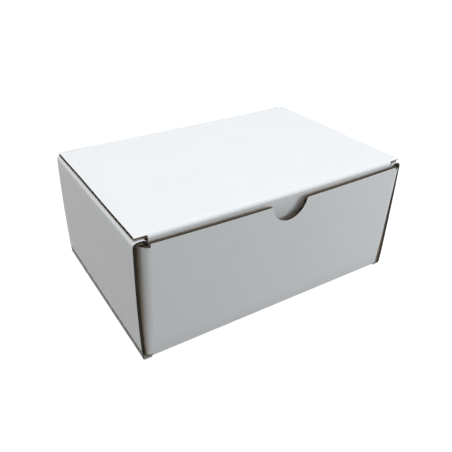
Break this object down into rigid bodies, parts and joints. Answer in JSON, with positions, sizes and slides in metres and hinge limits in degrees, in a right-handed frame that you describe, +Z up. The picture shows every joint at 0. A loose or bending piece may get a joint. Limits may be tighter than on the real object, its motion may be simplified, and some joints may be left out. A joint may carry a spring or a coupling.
{
  "type": "corrugated mailer box",
  "caption": "Flat white corrugated mailer box with rolled sides, a hinged tuck-in lid and a thumb notch in the front wall.",
  "frame": {"origin": "middle of the flat underside, on the surface that the box stands on", "axes": "+X along the front from left to right, +Y from the front wall to the back wall that carries the lid, +Z up"},
  "size_m": [0.2466, 0.1648, 0.1072],
  "materials": {
    "white_board": "matte",
    "kraft_board": "matte"
  },
  "bodies": {
    "tray": {"tray": "white_board"},
    "lid": {"lid": "white_board"}
  },
  "joints": [
    {"name": "lid_hinge", "type": "hinge", "parent": "tray", "child": "lid", "pos_m": [0, 0.08016, 0.10626], "axis": [-1, 0, 0], "range_deg": [0, 135]}
  ]
}
